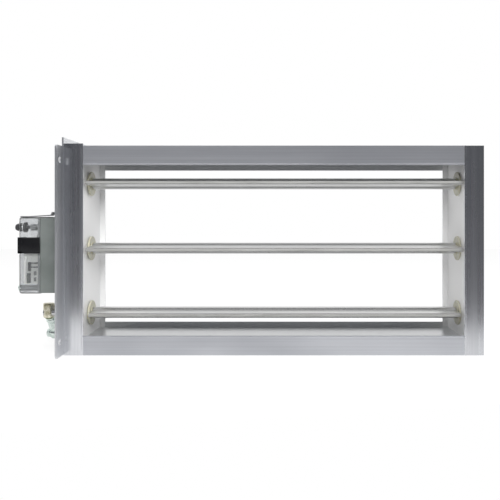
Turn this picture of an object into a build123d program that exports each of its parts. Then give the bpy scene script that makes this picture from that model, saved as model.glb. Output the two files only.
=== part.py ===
from build123d import *
import math
import os

os.makedirs("parts", exist_ok=True)

# Motorised slip-in volume control damper: an extruded aluminium frame that slides into a
# rectangular duct through a slot in its side, three aerofoil blades on plain bearings, a
# linkage and a direct coupled actuator outside the mounting plate.
# X runs along the blades into the duct, Y with the air stream, Z up. The origin is the centre
# of the mounting plate's screw pattern, on the face that lies against the duct.

# ---- duct and frame ----
duct_width = 508.0
duct_height = 254.0
slip_clearance_x = 3.0
slip_clearance_z = 2.0
frame_depth = 101.6
frame_wall = 2.0
flange_width = 23.4
web_reach = 16.5
bead_radius = 1.3
left_jamb_rise = 2.5
port_spacing = 60.0
port_radius = 3.6
port_bore = 1.9
port_lap = 0.8
port_slot = 1.6

# ---- mounting plate ----
plate_thickness = 2.0
plate_margin = 25.0
plate_drop = 1.0
plate_tab_rise = 10.0
plate_corner = 3.0
mount_hole_radius = 4.0
mount_hole_offset_y = 13.2
mount_hole_inset_z = 18.0
shaft_hole_radius = 6.5
cleat_height = 10.0
cleat_length = 80.0
cleat_web_gap = 3.5

# ---- blades and bearings ----
blade_count = 3
outer_axis_inset = 27.2
blade_meeting_gap = 0.8
blade_rail_gap = 0.6
blade_end_gap = 0.6
blade_skin = 1.3
blade_root = 4.4
boss_radius = 7.0
tip_radius = 2.4
seal_lip = 2.4
seal_lip_height = 3.4
seal_groove_radius = 1.3
seal_neck = 1.1
seal_fit = 0.05
shaft_radius = 4.75
running_clearance = 0.05
shaft_insertion = 45.0
disc_radius = 15.4
disc_thickness = 2.2
disc_chamfer = 0.5
disc_shoulder = 11.0
left_disc_rise = 1.9
right_disc_rise = 0.3
thrust_radius = 8.0
thrust_height = 1.0
spigot_radius = 8.0
snap_ring = 0.7
snap_length = 1.4
pin_overrun = 1.5

# ---- linkage ----
crank_radius = 36.0
crank_angle = -56.0
crank_hub_radius = 9.5
crank_hub_length = 13.0
crank_hub_offset = 3.0
crank_thickness = 4.0
crank_eye_radius = 7.5
crank_hub_flat = 7.6
set_screw_radius = 2.5
swivel_radius = 6.5
swivel_length = 9.0
swivel_plane = -26.0
swivel_pin_radius = 3.0
swivel_shoulder = 4.5
axial_gap = 0.3
rod_radius = 3.0
rod_overrun = 12.0
clip_radius = 5.5
clip_thickness = 1.0
outer_crank_plane = -35.5
outer_hub_length = 11.0
eye_bolt_radius = 3.0
eye_bolt_width = 6.0
nut_flats = 10.0
nut_height = 5.0
washer_radius = 6.0
washer_thickness = 1.2
screw_flats = 8.0

# ---- actuator ----
bracket_front = -36.0
bracket_back = 48.0
bracket_bottom = -53.0
bracket_top = 39.0
bracket_reach = 34.0
bracket_sheet = 1.5
bracket_foot = 13.0
foot_inset_z = 14.0
cover_wall = 1.8
cover_overlap = 1.0
cover_corner = 3.0
base_thickness = 3.0
base_fit = 0.2
bushing_radius = 7.4
bushing_flange = 9.5
gear_module = 1.0
gear_teeth = 48
pinion_teeth = 18
pressure_angle = 20.0
gear_width = 6.0
gear_hub_radius = 8.0
gear_web_holes = 6
gear_web_hole = 4.0
gear_gap = 1.0
gear_hub_rise = 1.5
gear_backlash = 0.12
pinion_direction = -50.0
gear_plate_gap = 0.5
gear_plate_thickness = 1.6
post_radius = 3.0
motor_radius = 14.0
motor_length = 10.0
motor_clearance = 0.6
motor_shaft_radius = 1.5
indicator_radius = 12.3
indicator_height = 3.0
indicator_gap = 0.5
label_thickness = 1.4
label_proud = 2.4
label_bottom = -9.5
label_top = 15.0
button_y = -22.0
button_z = 27.2
button_radius = 5.3
button_reach = 10.5
button_travel = 4.0
plunger_radius = 2.6
guide_radius = 4.0
board_thickness = 1.6
board_setback = 4.8
board_side_gap = 3.0
board_foot_gap = 10.0
board_height = 53.2
part_depth = 2.8
switch_width = 3.1
switch_height = 11.1
switch_inset = 6.0
switch_rise = 15.7
lever_half = 0.6
terminal_height = 12.0
terminal_gap = 2.5
terminal_shift = 1.2
terminal_count = 3
terminal_hole = 1.1
plug_radius = 7.0
plug_head = 2.5
plug_depth = 5.0
plug_z = 20.0
latch_width = 10.0
latch_thickness = 1.2

# ---- fasteners ----
screw_radius = 1.85
screw_head_radius = 4.0
screw_head_height = 2.4
screw_length = 20.0
cover_screw_length = 12.0
foot_nut_flats = 7.0
foot_nut_height = 2.4

# ---- worked out from the sizes above ----
frame_length = duct_width - slip_clearance_x
frame_height = duct_height - slip_clearance_z
half_height = frame_height / 2
half_depth = frame_depth / 2
throat_height = half_height - web_reach
mount_hole_spacing_y = frame_depth + 2 * mount_hole_offset_y
mount_hole_spacing_z = frame_height - 2 * mount_hole_inset_z
blade_pitch = 2 * (throat_height - outer_axis_inset) / (blade_count - 1)
blade_z = [blade_pitch * (i - (blade_count - 1) / 2) for i in range(blade_count)]
blade_names = ["bottom", "middle", "top"]
full_reach = blade_pitch / 2 - blade_meeting_gap / 2
rail_reach = outer_axis_inset - blade_rail_gap
bearing_depth = disc_thickness + thrust_height
blade_start = web_reach + left_disc_rise + bearing_depth + blade_end_gap
blade_end = frame_length - web_reach - right_disc_rise - bearing_depth - blade_end_gap
port_height = half_height - web_reach + frame_wall + port_radius - port_lap
hub_outer = -plate_thickness - crank_hub_offset - crank_hub_length
inner_arm_plane = hub_outer + crank_hub_offset + crank_thickness / 2
pin_y = crank_radius * math.cos(math.radians(crank_angle))
pin_z = crank_radius * math.sin(math.radians(crank_angle))
gear_distance = gear_module * (gear_teeth + pinion_teeth) / 2
pinion_y = gear_distance * math.cos(math.radians(pinion_direction))
pinion_z = gear_distance * math.sin(math.radians(pinion_direction))
base_face = -bracket_reach - base_thickness
gear_inner_face = base_face - gear_gap
gear_outer_face = gear_inner_face - gear_width
gear_plate_face = gear_outer_face - gear_hub_rise - gear_plate_gap
motor_face = gear_plate_face - gear_plate_thickness
cover_inner_face = motor_face - motor_length - motor_clearance
cover_reach = cover_wall - cover_inner_face


def block(x, y, z):
    """Box between a lower and an upper limit on each axis."""
    middle = Pos((x[0] + x[1]) / 2, (y[0] + y[1]) / 2, (z[0] + z[1]) / 2)
    return middle * Box(x[1] - x[0], y[1] - y[0], z[1] - z[0])


def bar_x(x, y, z, radius):
    """Round bar along X between two limits."""
    return Pos((x[0] + x[1]) / 2, y, z) * Rot(0, 90, 0) * Cylinder(radius, x[1] - x[0])


def hex_x(x, y, z, flats):
    """Hexagonal bar along X between two limits."""
    outline = Plane.YZ * RegularPolygon(flats / 2, 6, major_radius=False)
    return Pos(x[0], y, z) * extrude(outline, amount=x[1] - x[0])


def prism_x(outline, x):
    """Outline drawn in Y and Z, carried along X between two limits."""
    return Pos(x[0], 0, 0) * extrude(Plane.YZ * outline, amount=x[1] - x[0])


def pan_screw(x, y, z, length, direction):
    """Pan head screw on a face at x; its shank runs along direction (+1 or -1) in X."""
    shank = bar_x(sorted((x, x + direction * length)), y, z, screw_radius)
    head = bar_x(sorted((x - direction * screw_head_height, x)), y, z, screw_head_radius)
    rim = head.edges().filter_by(GeomType.CIRCLE).sort_by(Axis.X)[0 if direction > 0 else -1]
    head = chamfer(rim, screw_head_height * 0.5, screw_head_height * 0.8)
    recess = block(
        sorted((x - direction * screw_head_height, x - direction * screw_head_height * 0.5)),
        (y - screw_head_radius * 0.6, y + screw_head_radius * 0.6),
        (z - 0.5, z + 0.5),
    )
    return head + shank - recess - Pos(0, y, z) * Rot(90, 0, 0) * Pos(0, -y, -z) * recess


def save(node, shape):
    """Writes one named piece."""
    shape.label = node
    export_step(shape, f"parts/{node}.step")


# ---- frame extrusion: hat channel with a beaded lip on each flange ----
def channel(web_length, flange_length, with_ports):
    """Channel along X, its open outer side at z = 0 and its web towards the air, at -z."""
    web_middle = Pos(0, frame_wall / 2 - web_reach)
    web_outline = web_middle * Rectangle(frame_depth - 2 * frame_wall, frame_wall)
    if with_ports:
        for side in (-1, 1):
            centre = Pos(side * port_spacing / 2, port_height - half_height)
            web_outline += centre * Circle(port_radius)
            web_outline -= centre * Circle(port_bore)
            web_outline -= centre * Pos(0, port_radius / 2) * Rectangle(port_slot, port_radius)
    flange_outline = Sketch()
    for side in (-1, 1):
        middle = side * (half_depth - frame_wall / 2)
        flange_outline += Pos(middle, -flange_width / 2) * Rectangle(frame_wall, flange_width)
        bead_middle = side * (half_depth - frame_wall + bead_radius)
        flange_outline += Pos(bead_middle, bead_radius - flange_width) * Circle(bead_radius)
    web = extrude(Plane.YZ * web_outline, amount=web_length / 2, both=True)
    flanges = extrude(Plane.YZ * flange_outline, amount=flange_length / 2, both=True)
    return web + flanges


rail_web = frame_length - 2 * web_reach
rail_flange = frame_length - 2 * flange_width
rail = channel(rail_web, rail_flange, True)
save("rail_top", Pos(frame_length / 2, 0, half_height) * rail)
save("rail_bottom", Pos(frame_length / 2, 0, -half_height) * Rot(180, 0, 0) * rail)

port_y = port_spacing / 2
port_places = [(y, z) for y in (-port_y, port_y) for z in (-port_height, port_height)]
left_height = frame_height + left_jamb_rise
jamb_left = Pos(0, 0, left_jamb_rise / 2) * Rot(0, -90, 0) * channel(left_height, left_height, False)
jamb_right = Pos(frame_length, 0, 0) * Rot(0, 90, 0) * channel(frame_height, frame_height, False)
through = (-1, frame_length + 1)
for z in blade_z:
    bearing_hole = bar_x(through, 0, z, spigot_radius + running_clearance)
    jamb_left -= bearing_hole
    jamb_right -= bearing_hole
for y, z in port_places:
    jamb_left -= bar_x(through, y, z, screw_radius + 0.4)
    jamb_right -= bar_x(through, y, z, screw_radius + 0.4)
save("jamb_left", jamb_left)
save("jamb_right", jamb_right)

left_seat = web_reach - frame_wall
right_seat = frame_length - left_seat
corner_screws = [pan_screw(left_seat, y, z, screw_length, 1) for y, z in port_places]
corner_screws += [pan_screw(right_seat, y, z, screw_length, -1) for y, z in port_places]
save("corner_screws", Compound(corner_screws))


# ---- mounting plate, its cleats and screws ----
plate_half_y = half_depth + plate_margin
plate_height = frame_height - 2 * plate_drop
plate_outline = RectangleRounded(2 * plate_half_y, plate_height, plate_corner)
tab_top = half_height + plate_tab_rise
plate_outline += Pos(0, tab_top / 2) * Rectangle(frame_depth, tab_top)
for y in (-mount_hole_spacing_y / 2, mount_hole_spacing_y / 2):
    for z in (-mount_hole_spacing_z / 2, mount_hole_spacing_z / 2):
        plate_outline -= Pos(y, z) * Circle(mount_hole_radius)
for z in blade_z:
    plate_outline -= Pos(0, z) * Circle(shaft_hole_radius)

cleat_z = throat_height - cleat_web_gap - cleat_height / 2
cleat_screw_y = cleat_length * 0.4
cleat_screw_places = [(y, z) for y in (-cleat_screw_y, cleat_screw_y) for z in (-cleat_z, cleat_z)]
foot_inset_y = bracket_sheet + bracket_foot / 2
foot_y = [bracket_front + foot_inset_y, bracket_back - foot_inset_y]
foot_z = [bracket_bottom + foot_inset_z, bracket_top - foot_inset_z]
foot_places = [(y, z) for y in foot_y for z in foot_z]
for y, z in cleat_screw_places + foot_places:
    plate_outline -= Pos(y, z) * Circle(screw_radius + running_clearance)
save("mounting_plate", prism_x(plate_outline, (-plate_thickness, 0)))

cleats = []
for side in (-1, 1):
    cleat = block(
        (0, left_seat),
        (-cleat_length / 2, cleat_length / 2),
        (side * cleat_z - cleat_height / 2, side * cleat_z + cleat_height / 2),
    )
    for y, z in cleat_screw_places:
        cleat -= bar_x((-1, left_seat + 1), y, z, screw_radius + running_clearance)
    cleats.append(cleat)
save("plate_cleats", Compound(cleats))
plate_screws = [pan_screw(-plate_thickness, y, z, left_seat, 1) for y, z in cleat_screw_places]
save("plate_screws", Compound(plate_screws))


# ---- blade bearings ----
def flange_bearing(disc_rise):
    """Disc on a shoulder on the air side (+x) of a web at x = 0, spigot snapped through the web."""
    body = bar_x((disc_rise, disc_rise + disc_thickness), 0, 0, disc_radius)
    body = chamfer(body.edges().filter_by(GeomType.CIRCLE), disc_chamfer)
    body += bar_x((0, disc_rise + disc_thickness), 0, 0, disc_shoulder)
    body += bar_x((0, disc_rise + bearing_depth), 0, 0, thrust_radius)
    body += bar_x((-frame_wall - snap_length, 0), 0, 0, spigot_radius)
    snap_start = -frame_wall - snap_length
    body += bar_x((snap_start, snap_start + snap_length - 0.1), 0, 0, spigot_radius + snap_ring)
    bore = bar_x((snap_start - 1, disc_radius), 0, 0, shaft_radius + running_clearance)
    return body - bore


left_bearing = flange_bearing(left_disc_rise)
right_bearing = Rot(0, 0, 180) * flange_bearing(right_disc_rise)
for name, z in zip(blade_names, blade_z):
    save(f"bearing_left_{name}", Pos(web_reach, 0, z) * left_bearing)
    save(f"bearing_right_{name}", Pos(frame_length - web_reach, 0, z) * right_bearing)


# ---- blades: hollow aerofoil extrusion with a round boss and a grooved tip each side ----
def tip_centre(reach):
    return reach - seal_lip - tip_radius


def blade_outline(front, back):
    """Section with its axis at the origin: a tapered wing along -Y and +Y, a round boss between."""
    skin = Circle(blade_root).edges()
    core = Circle(blade_root - blade_skin).edges()
    for y in (-tip_centre(front), tip_centre(back)):
        skin += (Pos(y, 0) * Circle(tip_radius)).edges()
        inward = y - math.copysign(tip_radius + seal_groove_radius + blade_skin, y)
        core += (Pos(inward, 0) * Circle(tip_radius - blade_skin)).edges()
    outline = make_hull(skin) - make_hull(core) + Circle(boss_radius)
    outline -= Circle(shaft_radius + running_clearance)
    for y in (-tip_centre(front), tip_centre(back)):
        outline -= Pos(y, 0) * Circle(seal_groove_radius)
        mouth = y + math.copysign(tip_radius / 2, y)
        outline -= Pos(mouth, 0) * Rectangle(tip_radius + 0.2, seal_neck)
    return outline


def seal_outline(reach, side):
    """Tip gasket: a bead held in the groove, a neck and a rounded lip past the metal."""
    centre = tip_centre(reach)
    bead = Pos(centre, 0) * Circle(seal_groove_radius - seal_fit)
    neck_end = centre + tip_radius + 0.4
    neck = Pos((centre + neck_end) / 2, 0) * Rectangle(neck_end - centre, seal_neck - 2 * seal_fit)
    lip_start = centre + tip_radius + seal_fit
    lip = Pos((lip_start + reach) / 2, 0) * RectangleRounded(reach - lip_start, seal_lip_height, 0.9)
    return Rot(0, 0, 0 if side > 0 else 180) * (bead + neck + lip)


reaches = {
    "bottom": (rail_reach, full_reach),
    "middle": (full_reach, full_reach),
    "top": (full_reach, rail_reach),
}
span = (blade_start, blade_end)
for name, z in zip(blade_names, blade_z):
    front, back = reaches[name]
    save(f"blade_{name}", Pos(0, 0, z) * prism_x(blade_outline(front, back), span))
    gaskets = [prism_x(seal_outline(front, -1), span), prism_x(seal_outline(back, 1), span)]
    save(f"blade_seals_{name}", Compound([Pos(0, 0, z) * g for g in gaskets]))

# ---- shafts: drive side through the mounting plate, idler pins on the far side ----
outer_hub_outer = outer_crank_plane - outer_hub_length / 2
shaft_ends = {
    "bottom": outer_hub_outer - 1.0,
    "middle": -cover_reach - indicator_gap - indicator_height * 0.5,
    "top": hub_outer - 1.0,
}
for name, z in zip(blade_names, blade_z):
    shaft = bar_x((shaft_ends[name], blade_start + shaft_insertion), 0, z, shaft_radius)
    shaft = chamfer(shaft.edges().filter_by(GeomType.CIRCLE), 0.6)
    save(f"drive_shaft_{name}", shaft)
    pin_end = frame_length - web_reach + frame_wall + pin_overrun
    pin = bar_x((blade_end - shaft_insertion, pin_end), 0, z, shaft_radius)
    save(f"idler_pin_{name}", chamfer(pin.edges().filter_by(GeomType.CIRCLE), 0.6))


# ---- cranks ----
def flat_crank():
    """Lever on a shaft at the origin: clamp hub, flat arm along +Y and an eye at its end."""
    arm = make_hull((Circle(crank_hub_radius) + Pos(crank_radius, 0) * Circle(crank_eye_radius)).edges())
    arm_span = (inner_arm_plane - crank_thickness / 2, inner_arm_plane + crank_thickness / 2)
    body = prism_x(arm, arm_span)
    body += bar_x((hub_outer, hub_outer + crank_hub_length), 0, 0, crank_hub_radius)
    body -= bar_x((hub_outer - 1, 0), 0, 0, shaft_radius + running_clearance)
    body -= bar_x((hub_outer - 1, 0), crank_radius, 0, swivel_pin_radius + running_clearance)
    return body


def bar_y(y, radius):
    """Round bar on the Y axis between two limits."""
    return Pos(0, (y[0] + y[1]) / 2, 0) * Rot(90, 0, 0) * Cylinder(radius, y[1] - y[0])


def hex_y(y, flats):
    """Hexagonal bar on the Y axis between two limits."""
    outline = Plane.XZ * RegularPolygon(flats / 2, 6, major_radius=False)
    return Pos(0, y[0], 0) * extrude(outline, amount=y[0] - y[1])


set_screw_tip = shaft_radius + 0.1
set_screw_end = crank_hub_radius + 6.0
set_screw_head = (crank_hub_radius + 1.5, set_screw_end)
far = 4 * crank_hub_radius
inner_hub_plane = hub_outer + crank_hub_length / 4
for name in ("middle", "top"):
    place = Pos(0, 0, blade_z[blade_names.index(name)]) * Rot(crank_angle, 0, 0)
    screw_hole = bar_y((-far, 0), set_screw_radius + running_clearance)
    save(f"crank_{name}", place * (flat_crank() - Pos(inner_hub_plane, 0, 0) * screw_hole))
    screw = bar_y((set_screw_tip, set_screw_end), set_screw_radius) + hex_y(set_screw_head, screw_flats)
    save(f"crank_screw_{name}", place * Pos(inner_hub_plane, 0, 0) * Rot(0, 0, 180) * screw)

# The bottom crank stands further out: a clamp hub with a threaded eye bolt for an arm.
place = Pos(outer_crank_plane, 0, blade_z[0]) * Rot(crank_angle, 0, 0)
hub_half = outer_hub_length / 2
hub = bar_x((-hub_half, hub_half), 0, 0, crank_hub_radius)
hub += block((-hub_half, hub_half), (0, crank_hub_radius), (-crank_hub_flat, crank_hub_flat))
hub -= bar_x((-hub_half - 1, hub_half + 1), 0, 0, shaft_radius + running_clearance)
hub -= bar_y((-far, far), eye_bolt_radius + running_clearance)
save("crank_hub_bottom", place * hub)
screw = bar_y((set_screw_tip, set_screw_end), eye_bolt_radius) + hex_y(set_screw_head, screw_flats)
save("crank_screw_bottom", place * Rot(0, 0, 180) * screw)

shank_end = crank_radius - crank_eye_radius + 1
nut_start = crank_hub_radius + washer_thickness
eye_bolt = bar_y((set_screw_tip, shank_end), eye_bolt_radius)
eye_bolt += hex_y((nut_start + nut_height + 1.0, shank_end), screw_flats)
eye_bolt += bar_x((-eye_bolt_width / 2, eye_bolt_width / 2), crank_radius, 0, crank_eye_radius)
eye_bore = swivel_pin_radius + running_clearance
eye_bolt -= bar_x((-eye_bolt_width, eye_bolt_width), crank_radius, 0, eye_bore)
save("crank_eye_bolt", place * eye_bolt)
washer = bar_y((crank_hub_radius, nut_start), washer_radius)
lock_nut = hex_y((nut_start, nut_start + nut_height), nut_flats)
shank_bore = bar_y((-far, far), eye_bolt_radius + running_clearance)
save("crank_lock_nut", place * Compound([washer - shank_bore, lock_nut - shank_bore]))

# ---- tie rod and its swivels ----
def swivel(outward):
    """Trunnion on the rod at the origin; its pin runs along +X, or along -X if outward."""
    arm_plane = outer_crank_plane if outward else inner_arm_plane
    arm_half = (eye_bolt_width if outward else crank_thickness) / 2
    reach = abs(arm_plane - swivel_plane)
    clip_start = reach + arm_half + axial_gap
    body = bar_x((-swivel_length / 2, swivel_length / 2), 0, 0, swivel_radius)
    body = chamfer(body.edges().filter_by(GeomType.CIRCLE), 0.6)
    body += bar_x((0, reach - arm_half - axial_gap), 0, 0, swivel_shoulder)
    pin_end = clip_start + clip_thickness
    pin_end += nut_height if outward else 0.6
    body += bar_x((0, pin_end), 0, 0, swivel_pin_radius)
    body -= Cylinder(rod_radius + running_clearance, 4 * swivel_radius)
    body -= bar_x((-swivel_length, 0), 0, 0, 2.0 + running_clearance)
    clip = bar_x((clip_start, clip_start + clip_thickness), 0, 0, clip_radius)
    if outward:
        clip += hex_x((clip_start + clip_thickness, pin_end - 0.8), 0, 0, nut_flats)
    clip -= bar_x((0, 2 * reach), 0, 0, swivel_pin_radius + running_clearance)
    screw = bar_x((-swivel_length / 2 - 1.0, -rod_radius - 2 * running_clearance), 0, 0, 2.0)
    turn = Rot(0, 0, 180) if outward else Rot(0, 0, 0)
    return turn * body, turn * clip, turn * screw


rod_screws = []
clips = []
for name, z in zip(blade_names, blade_z):
    place = Pos(swivel_plane, pin_y, z + pin_z)
    body, clip, screw = swivel(name == "bottom")
    save(f"rod_swivel_{name}", place * body)
    clips.append(place * clip)
    rod_screws.append(place * screw)
save("swivel_nut", clips[0])
save("swivel_clips", Compound(clips[1:]))
save("rod_set_screws", Compound(rod_screws))
rod_low = blade_z[0] + pin_z - rod_overrun
rod_high = blade_z[-1] + pin_z + rod_overrun
tie_rod = Pos(swivel_plane, pin_y, (rod_low + rod_high) / 2) * Cylinder(rod_radius, rod_high - rod_low)
save("tie_rod", chamfer(tie_rod.edges().filter_by(GeomType.CIRCLE), 0.6))

# ---- actuator bracket: folded sheet, open at the top and bottom for the tie rod ----
bracket_y = (bracket_front, bracket_back)
bracket_z = (bracket_bottom, bracket_top)
bracket = block((-bracket_reach, -plate_thickness), bracket_y, bracket_z)
bracket = fillet(bracket.edges().filter_by(Axis.Z).group_by(Axis.X)[0], 1.5)
bracket -= block(
    (-bracket_reach + bracket_sheet, 0),
    (bracket_front + bracket_sheet, bracket_back - bracket_sheet),
    (bracket_bottom - 1, bracket_top + 1),
)
foot_x = (-plate_thickness - bracket_sheet, -plate_thickness)
for y in foot_y:
    bracket += block(foot_x, (y - bracket_foot / 2, y + bracket_foot / 2), bracket_z)
for y, z in foot_places:
    bracket -= bar_x((-plate_thickness - 2, 0), y, z, screw_radius + running_clearance)
bushing_hole = bar_x((-cover_reach, -bracket_reach / 2), 0, 0, bushing_radius + running_clearance)
bracket -= bushing_hole
save("actuator_bracket", bracket)

foot_nut = hex_x((0, foot_nut_height), 0, 0, foot_nut_flats)
foot_nut -= bar_x((-1, 2 * foot_nut_height), 0, 0, screw_radius + running_clearance)
foot_screw_length = bracket_sheet + plate_thickness + foot_nut_height + 0.6
bracket_bolts = [pan_screw(foot_x[0], y, z, foot_screw_length, 1) for y, z in foot_places]
bracket_bolts += [Pos(0, y, z) * foot_nut for y, z in foot_places]
save("bracket_bolts", Compound(bracket_bolts))

sheet_inner = -bracket_reach + bracket_sheet
bushing = bar_x((base_face, sheet_inner), 0, 0, bushing_radius)
bushing += bar_x((sheet_inner, sheet_inner + 1), 0, 0, bushing_flange)
bushing -= bar_x((-cover_reach, 0), 0, 0, shaft_radius + running_clearance)
save("shaft_bushing", bushing)

# ---- actuator base, clear cover and what they hold ----
inner_front = bracket_front + cover_wall
inner_back = bracket_back - cover_wall
inner_bottom = bracket_bottom - cover_overlap + cover_wall
inner_top = bracket_top + cover_overlap - cover_wall
base = block(
    (base_face, -bracket_reach),
    (inner_front + base_fit, inner_back - base_fit),
    (inner_bottom + base_fit, inner_top - base_fit),
)
base -= bushing_hole
gear_posts = [(inner_back - 6, inner_bottom + 6), (inner_back - 6, 5.0), (-4.0, inner_bottom + 6)]
for y, z in gear_posts:
    base += bar_x((gear_plate_face, base_face), y, z, post_radius)
cover_posts = [(inner_back - 5, inner_top - 5), (inner_front + 5, inner_bottom + 5)]
for y, z in cover_posts:
    post = bar_x((cover_inner_face + base_fit, base_face), y, z, post_radius + 0.6)
    base += post - bar_x((cover_inner_face, base_face - 4), y, z, screw_radius + running_clearance)
save("actuator_base", base)

cover_low = bracket_bottom - cover_overlap
cover_high = bracket_top + cover_overlap
cover = block((-cover_reach, -bracket_reach), (bracket_front, bracket_back), (cover_low, cover_high))
cover = fillet(cover.edges().group_by(Axis.X)[0] + cover.edges().filter_by(Axis.X), cover_corner)
cover -= block((cover_inner_face, 0), (inner_front, inner_back), (inner_bottom, inner_top))
cover -= bar_x((-cover_reach - 1, -bracket_reach - 5), button_y, button_z, button_radius + axial_gap)
cover -= bar_x((-cover_reach - 1, cover_inner_face + 1), 0, 0, shaft_radius + 0.6)
for y, z in cover_posts:
    cover -= bar_x((-cover_reach - 1, cover_inner_face + 1), y, z, screw_radius + running_clearance)
plug_x = (-cover_reach - bracket_reach) / 2
plug_place = Pos(plug_x, bracket_back, plug_z) * Rot(-90, 0, 0)
cover -= plug_place * Cylinder(plug_radius + running_clearance, 4 * cover_wall)
save("actuator_cover", cover)
cover_screws = [pan_screw(-cover_reach, y, z, cover_screw_length, 1) for y, z in cover_posts]
save("cover_screws", Compound(cover_screws))

# Blanking plug in the wiring entry of the cover's back wall.
plug = Pos(0, 0, plug_head / 2) * Cylinder(plug_radius + 2.0, plug_head)
plug = chamfer(plug.edges().filter_by(GeomType.CIRCLE).sort_by(Axis.Z)[-1], 0.9)
plug += Pos(0, 0, -plug_depth / 2) * Cylinder(plug_radius, plug_depth)
plug -= Pos(0, 0, -plug_depth / 2) * Cylinder(plug_radius - 1.4, plug_depth)
save("conduit_plug", plug_place * plug)


def gear_outline(teeth, phase):
    """Spur gear outline with involute flanks; a tooth is centred on the angle phase."""
    pitch_r = gear_module * teeth / 2
    base_r = pitch_r * math.cos(math.radians(pressure_angle))
    tip_r = pitch_r + gear_module * 0.95
    root_r = pitch_r - gear_module * 1.25
    start_r = max(base_r, root_r)

    def roll(radius):
        """Involute angle from the base circle to a radius."""
        alpha = math.acos(base_r / radius)
        return math.tan(alpha) - alpha

    half_tooth = math.pi / (2 * teeth) - gear_backlash / (4 * pitch_r)
    outline = Circle(root_r)
    for i in range(teeth):
        centre = math.radians(phase) + 2 * math.pi * i / teeth
        flanks = []
        for side in (-1, 1):
            points = []
            for step in range(4):
                radius = start_r + (tip_r - start_r) * step / 3
                angle = centre + side * (half_tooth + roll(pitch_r) - roll(radius))
                points.append((radius * math.cos(angle), radius * math.sin(angle)))
            inner = centre + side * (half_tooth + roll(pitch_r) - roll(start_r))
            foot = ((root_r - 0.2) * math.cos(inner), (root_r - 0.2) * math.sin(inner))
            flanks.append((foot, points))
        (low_foot, low), (high_foot, high) = flanks
        tooth = [Line(low_foot, low[0]), Spline(*low), Line(low[-1], high[-1]),
                 Spline(*reversed(high)), Line(high[0], high_foot), Line(high_foot, low_foot)]
        outline += make_face(tooth)
    return outline


gear_span = (gear_outer_face, gear_inner_face)
gear = prism_x(gear_outline(gear_teeth, pinion_direction), gear_span)
gear += bar_x((gear_outer_face - gear_hub_rise, gear_inner_face), 0, 0, gear_hub_radius)
gear -= bar_x((-cover_reach, 0), 0, 0, shaft_radius + running_clearance)
web_ring = (gear_module * gear_teeth / 2 + gear_hub_radius) / 2 - gear_module
for i in range(gear_web_holes):
    angle = 2 * math.pi * (i + 0.5) / gear_web_holes
    hole_y = web_ring * math.cos(angle)
    hole_z = web_ring * math.sin(angle)
    gear -= bar_x((-cover_reach, 0), hole_y, hole_z, gear_web_hole)
save("output_gear", gear)

pinion_phase = pinion_direction + 180 + 180 / pinion_teeth
pinion = Pos(0, pinion_y, pinion_z) * prism_x(gear_outline(pinion_teeth, pinion_phase), gear_span)
pinion += bar_x((motor_face, base_face - axial_gap), pinion_y, pinion_z, motor_shaft_radius)
save("motor_pinion", pinion)

gear_plate = block((motor_face, gear_plate_face), (-8, inner_back - 2), (inner_bottom + 2, 9))
gear_plate -= bar_x((-cover_reach, 0), 0, 0, shaft_radius + 1.0)
gear_plate -= bar_x((-cover_reach, 0), pinion_y, pinion_z, motor_shaft_radius + 1.0)
save("gear_plate", gear_plate)
motor = bar_x((motor_face - motor_length, motor_face), pinion_y, pinion_z, motor_radius)
motor = chamfer(motor.edges().filter_by(GeomType.CIRCLE).sort_by(Axis.X)[0], 1.2)
motor_bore = motor_shaft_radius + running_clearance
motor -= bar_x((motor_face - 1, motor_face + 1), pinion_y, pinion_z, motor_bore)
save("gear_motor", motor)

# ---- position indicator on the end of the middle shaft ----
dial_inner = -cover_reach - indicator_gap
dial_outer = dial_inner - indicator_height
dial = bar_x((dial_outer, dial_inner), 0, 0, indicator_radius)
dial = chamfer(dial.edges().filter_by(GeomType.CIRCLE).sort_by(Axis.X)[0], 0.8)
pointer_half = indicator_radius - 1.5
dial += block((dial_outer - 1.2, dial_outer), (-pointer_half, pointer_half), (-1.5, 1.5))
dial -= bar_x((shaft_ends["middle"] - 0.1, 0), 0, 0, shaft_radius + running_clearance)
save("position_indicator", dial)

# ---- label plate wrapped round the cover's front edge ----
label_face = -cover_reach - label_proud
label_front = bracket_front - label_thickness
label_z = (label_bottom, label_top)
label = block((label_face, -bracket_reach), (label_front, bracket_front), label_z)
label += block((label_face, -cover_reach), (label_front, -indicator_radius - 2.0), label_z)
save("label_plate", label)

# ---- manual release button, sprung out through the cover ----
button_tip = -cover_reach - button_reach
profile = [
    (0, button_tip), (button_radius * 0.62, button_tip), (button_radius, button_tip + 5.0),
    (button_radius, -cover_reach + 0.5), (button_radius * 0.7, -cover_reach + 2.6),
    (button_radius * 0.7, -cover_reach + 3.4), (button_radius + 1.0, -cover_reach + 3.4),
    (button_radius + 1.0, -cover_reach + 6.0), (plunger_radius, -cover_reach + 6.0),
    (plunger_radius, base_face - button_travel - axial_gap), (0, base_face - button_travel - axial_gap),
]
button = revolve(Plane.XY * make_face(Polyline([(r, -x) for r, x in profile], close=True)), Axis.Y)
button = Rot(0, 0, 90) * button
save("release_button", Pos(0, button_y, button_z) * button)
guide_end = -cover_reach + 6.0 + button_travel + axial_gap
guide = bar_x((guide_end, base_face), button_y, button_z, guide_radius)
guide -= bar_x((guide_end - 1, base_face + 1), button_y, button_z, plunger_radius + running_clearance)
save("button_guide", guide)

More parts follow.
